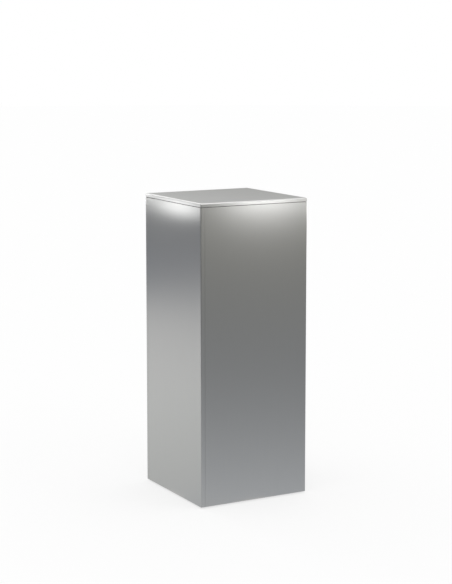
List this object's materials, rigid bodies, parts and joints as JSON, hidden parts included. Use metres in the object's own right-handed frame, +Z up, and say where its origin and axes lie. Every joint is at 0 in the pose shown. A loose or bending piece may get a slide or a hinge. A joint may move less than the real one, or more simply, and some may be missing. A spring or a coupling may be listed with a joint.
{
  "type": "pedestal column stand",
  "caption": "Square pedestal column clad in satin stainless sheet, with a lift-off flush lid, a hollow board carcass and screw-in levelling feet.",
  "frame": {"origin": "on the floor, under the middle of the column", "axes": "+Z up, -Y out of the front face; the column is the same both ways, with its folds turned round Z"},
  "size_m": [0.4, 0.4, 1.005],
  "materials": {
    "satin_steel": "satin stainless sheet, fine grit, folded edges",
    "raw_mdf": "bare medium-density fibreboard",
    "black_mdf": "medium-density fibreboard sealed black",
    "pine": "planed pine",
    "zinc_steel": "bright zinc plate",
    "black_foam": "closed-cell foam strip",
    "black_nylon": "moulded nylon",
    "sole_rubber": "rubber disc"
  },
  "bodies": {
    "column": {"skin_front": "satin_steel", "skin_right": "satin_steel", "skin_back": "satin_steel", "skin_left": "satin_steel", "board_front": "raw_mdf", "board_right": "raw_mdf", "board_back": "raw_mdf", "board_left": "raw_mdf", "corner_batten_front": "pine", "corner_batten_right": "pine", "corner_batten_back": "pine", "corner_batten_left": "pine", "joint_screw_front_1": "zinc_steel", "joint_screw_front_2": "zinc_steel", "joint_screw_front_3": "zinc_steel", "joint_screw_right_1": "zinc_steel", "joint_screw_right_2": "zinc_steel", "joint_screw_right_3": "zinc_steel", "joint_screw_back_1": "zinc_steel", "joint_screw_back_2": "zinc_steel", "joint_screw_back_3": "zinc_steel", "joint_screw_left_1": "zinc_steel", "joint_screw_left_2": "zinc_steel", "joint_screw_left_3": "zinc_steel", "base_screw_front": "zinc_steel", "base_screw_right": "zinc_steel", "base_screw_back": "zinc_steel", "base_screw_left": "zinc_steel", "top_screw_front": "zinc_steel", "top_screw_right": "zinc_steel", "top_screw_back": "zinc_steel", "top_screw_left": "zinc_steel", "base_board": "black_mdf", "mid_brace": "raw_mdf", "top_board": "raw_mdf", "foot_nut_front_left": "zinc_steel", "foot_nut_front_right": "zinc_steel", "foot_nut_back_right": "zinc_steel", "foot_nut_back_left": "zinc_steel"},
    "lid": {"lid_tray": "satin_steel", "lid_core": "raw_mdf", "lid_plug": "raw_mdf", "lid_gasket": "black_foam", "lid_screw_front_left": "zinc_steel", "lid_screw_front_right": "zinc_steel", "lid_screw_back_right": "zinc_steel", "lid_screw_back_left": "zinc_steel"},
    "pad_front_left": {"foot_pad_front_left": "black_nylon", "foot_sole_front_left": "sole_rubber"},
    "pad_front_right": {"foot_pad_front_right": "black_nylon", "foot_sole_front_right": "sole_rubber"},
    "pad_back_right": {"foot_pad_back_right": "black_nylon", "foot_sole_back_right": "sole_rubber"},
    "pad_back_left": {"foot_pad_back_left": "black_nylon", "foot_sole_back_left": "sole_rubber"},
    "stem_front_left": {"foot_stem_front_left": "zinc_steel"},
    "stem_front_right": {"foot_stem_front_right": "zinc_steel"},
    "stem_back_right": {"foot_stem_back_right": "zinc_steel"},
    "stem_back_left": {"foot_stem_back_left": "zinc_steel"}
  },
  "joints": [
    {"name": "lid_lift", "type": "slide", "parent": "column", "child": "lid", "axis": [0, 0, 1], "range_m": [0, 0.1]},
    {"name": "pad_slide_front_left", "type": "slide", "parent": "column", "child": "pad_front_left", "axis": [0, 0, 1], "range_m": [-0.015, 0.005]},
    {"name": "pad_slide_front_right", "type": "slide", "parent": "column", "child": "pad_front_right", "axis": [0, 0, 1], "range_m": [-0.015, 0.005]},
    {"name": "pad_slide_back_right", "type": "slide", "parent": "column", "child": "pad_back_right", "axis": [0, 0, 1], "range_m": [-0.015, 0.005]},
    {"name": "pad_slide_back_left", "type": "slide", "parent": "column", "child": "pad_back_left", "axis": [0, 0, 1], "range_m": [-0.015, 0.005]},
    {"name": "stem_turn_front_left", "type": "hinge", "parent": "pad_front_left", "child": "stem_front_left", "pos_m": [-0.14, -0.14, 0.0082], "axis": [0, 0, 1], "range_deg": [-4320, 1440]},
    {"name": "stem_turn_front_right", "type": "hinge", "parent": "pad_front_right", "child": "stem_front_right", "pos_m": [0.14, -0.14, 0.0082], "axis": [0, 0, 1], "range_deg": [-4320, 1440]},
    {"name": "stem_turn_back_right", "type": "hinge", "parent": "pad_back_right", "child": "stem_back_right", "pos_m": [0.14, 0.14, 0.0082], "axis": [0, 0, 1], "range_deg": [-4320, 1440]},
    {"name": "stem_turn_back_left", "type": "hinge", "parent": "pad_back_left", "child": "stem_back_left", "pos_m": [-0.14, 0.14, 0.0082], "axis": [0, 0, 1], "range_deg": [-4320, 1440]}
  ],
  "couplings": [
    {"joint": "stem_turn_front_left", "follows": "pad_slide_front_left", "rad_per_m": 5026.5},
    {"joint": "stem_turn_front_right", "follows": "pad_slide_front_right", "rad_per_m": 5026.5},
    {"joint": "stem_turn_back_right", "follows": "pad_slide_back_right", "rad_per_m": 5026.5},
    {"joint": "stem_turn_back_left", "follows": "pad_slide_back_left", "rad_per_m": 5026.5}
  ]
}
